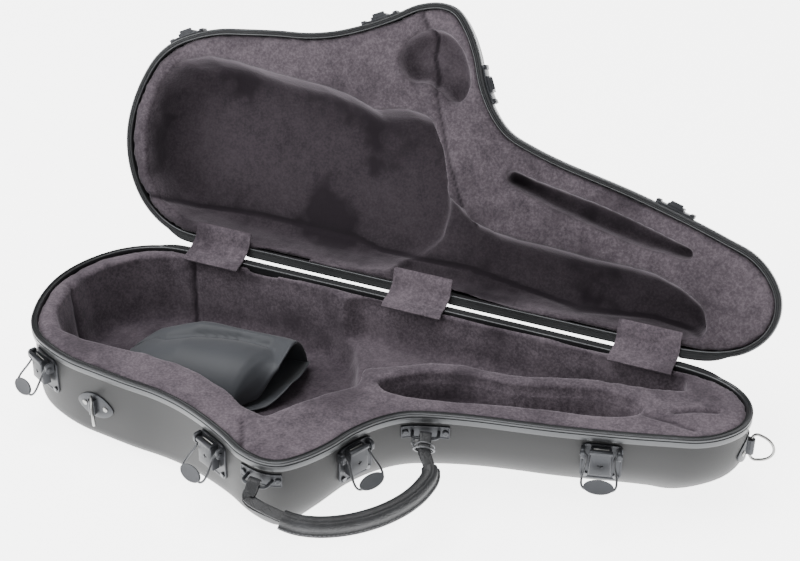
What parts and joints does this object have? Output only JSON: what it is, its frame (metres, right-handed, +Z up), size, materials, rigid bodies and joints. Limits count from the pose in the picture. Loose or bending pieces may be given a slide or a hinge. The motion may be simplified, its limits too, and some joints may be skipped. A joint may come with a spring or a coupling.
{
  "type": "saxophone case",
  "caption": "Shaped hard case for an alto saxophone, open, with padded velour hollows, hinged lid, draw latches, carrying handle, strap rings and a loose soft pouch.",
  "frame": {"origin": "on the floor plane at the middle of the base's length, 140 mm in front of the hinge axis, on the flat bottom of the base", "axes": "+X from the bell end to the neck end along the hinge line, +Y towards the hinges, +Z up"},
  "size_m": [0.6931, 0.4696, 0.3359],
  "materials": {
    "shell": "fine matte grain",
    "rim": "dark satin anodised",
    "velour": "short pile velour",
    "hardware": "black satin coating",
    "steel": "satin",
    "leather": "smooth, lightly glossy",
    "vinyl": "matte soft sheet"
  },
  "bodies": {
    "base": {"base_lining": "velour", "base_rim": "rim", "base_shell": "shell", "handle_bracket_1": "hardware", "handle_bracket_2": "hardware", "handle_rivet_1a": "steel", "handle_rivet_1b": "steel", "handle_rivet_2a": "steel", "handle_rivet_2b": "steel", "hinge_1_base_leaf": "hardware", "hinge_1_pin": "hardware", "hinge_2_base_leaf": "hardware", "hinge_2_pin": "hardware", "hinge_3_base_leaf": "hardware", "hinge_3_pin": "hardware", "hinge_cover_1": "velour", "hinge_cover_2": "velour", "hinge_cover_3": "velour", "latch_1_housing": "hardware", "latch_1_plate": "hardware", "latch_2_housing": "hardware", "latch_2_plate": "hardware", "latch_3_housing": "hardware", "latch_3_plate": "hardware", "latch_4_housing": "hardware", "latch_4_plate": "hardware", "ring_1_plate": "hardware", "ring_2_plate": "hardware", "ring_rivet_1a": "steel", "ring_rivet_1b": "steel", "ring_rivet_2a": "steel", "ring_rivet_2b": "steel"},
    "lid": {"catch_1": "hardware", "catch_2": "hardware", "catch_3": "hardware", "catch_4": "hardware", "hinge_1_lid_leaf": "hardware", "hinge_2_lid_leaf": "hardware", "hinge_3_lid_leaf": "hardware", "lid_lining": "velour", "lid_rim": "rim", "lid_shell": "shell"},
    "handle": {"handle_core": "leather", "handle_ring": "steel", "handle_sleeve": "leather"},
    "latch_1_lever": {"latch_1_bail": "hardware"},
    "latch_1_tab": {"latch_1_paddle": "hardware"},
    "latch_2_lever": {"latch_2_bail": "hardware"},
    "latch_2_tab": {"latch_2_paddle": "hardware"},
    "latch_3_lever": {"latch_3_bail": "hardware"},
    "latch_3_tab": {"latch_3_paddle": "hardware"},
    "latch_4_lever": {"latch_4_bail": "hardware"},
    "latch_4_tab": {"latch_4_paddle": "hardware"},
    "pouch": {"pouch": "vinyl"},
    "strap_ring_1": {"ring_1": "hardware"},
    "strap_ring_2": {"ring_2": "hardware"}
  },
  "joints": [
    {"name": "lid_hinge", "type": "hinge", "parent": "base", "child": "lid", "pos_m": [0, 0.14, 0.086], "axis": [1, 0, 0], "range_deg": [0, 115.5], "deforming": ["hinge_cover_1", "hinge_cover_2", "hinge_cover_3"]},
    {"name": "latch_1_lift", "type": "hinge", "parent": "base", "child": "latch_1_lever", "pos_m": [-0.28897, -0.06591, 0.066], "axis": [-0.8837, 0.468, 0], "range_deg": [-20, 110]},
    {"name": "latch_1_tab_tilt", "type": "hinge", "parent": "latch_1_lever", "child": "latch_1_tab", "pos_m": [-0.29799, -0.08295, 0.04302], "axis": [-0.8837, 0.468, 0], "range_deg": [-50, 8]},
    {"name": "latch_2_lift", "type": "hinge", "parent": "base", "child": "latch_2_lever", "pos_m": [-0.08874, -0.11467, 0.066], "axis": [-0.9077, 0.4195, 0], "range_deg": [-20, 110]},
    {"name": "latch_2_tab_tilt", "type": "hinge", "parent": "latch_2_lever", "child": "latch_2_tab", "pos_m": [-0.09683, -0.13218, 0.04302], "axis": [-0.9077, 0.4195, 0], "range_deg": [-50, 8]},
    {"name": "latch_3_lift", "type": "hinge", "parent": "base", "child": "latch_3_lever", "pos_m": [0.03175, -0.07292, 0.066], "axis": [-0.4445, -0.8958, 0], "range_deg": [-20, 110]},
    {"name": "latch_3_tab_tilt", "type": "hinge", "parent": "latch_3_lever", "child": "latch_3_tab", "pos_m": [0.04902, -0.08149, 0.04302], "axis": [-0.4445, -0.8958, 0], "range_deg": [-50, 8]},
    {"name": "latch_4_lift", "type": "hinge", "parent": "base", "child": "latch_4_lever", "pos_m": [0.2242, 0.00544, 0.066], "axis": [-0.9692, -0.2465, 0], "range_deg": [-20, 110]},
    {"name": "latch_4_tab_tilt", "type": "hinge", "parent": "latch_4_lever", "child": "latch_4_tab", "pos_m": [0.22895, -0.01325, 0.04302], "axis": [-0.9692, -0.2465, 0], "range_deg": [-50, 8]},
    {"name": "handle_swing", "type": "hinge", "parent": "base", "child": "handle", "pos_m": [0.0253, -0.089, 0.066], "axis": [0.6893, 0.7244, 0], "range_deg": [-35, 30]},
    {"name": "strap_ring_1_swing", "type": "hinge", "parent": "base", "child": "strap_ring_1", "pos_m": [-0.22591, -0.08217, 0.044], "axis": [0, 0, 1], "range_deg": [-100, 30]},
    {"name": "strap_ring_2_swing", "type": "hinge", "parent": "base", "child": "strap_ring_2", "pos_m": [0.33688, 0.08461, 0.053], "axis": [0, 0, 1], "range_deg": [-60, 60]},
    {"name": "pouch_lift", "type": "slide", "parent": "base", "child": "pouch", "axis": [0, 0, -1], "range_m": [-0.22, 0]}
  ]
}
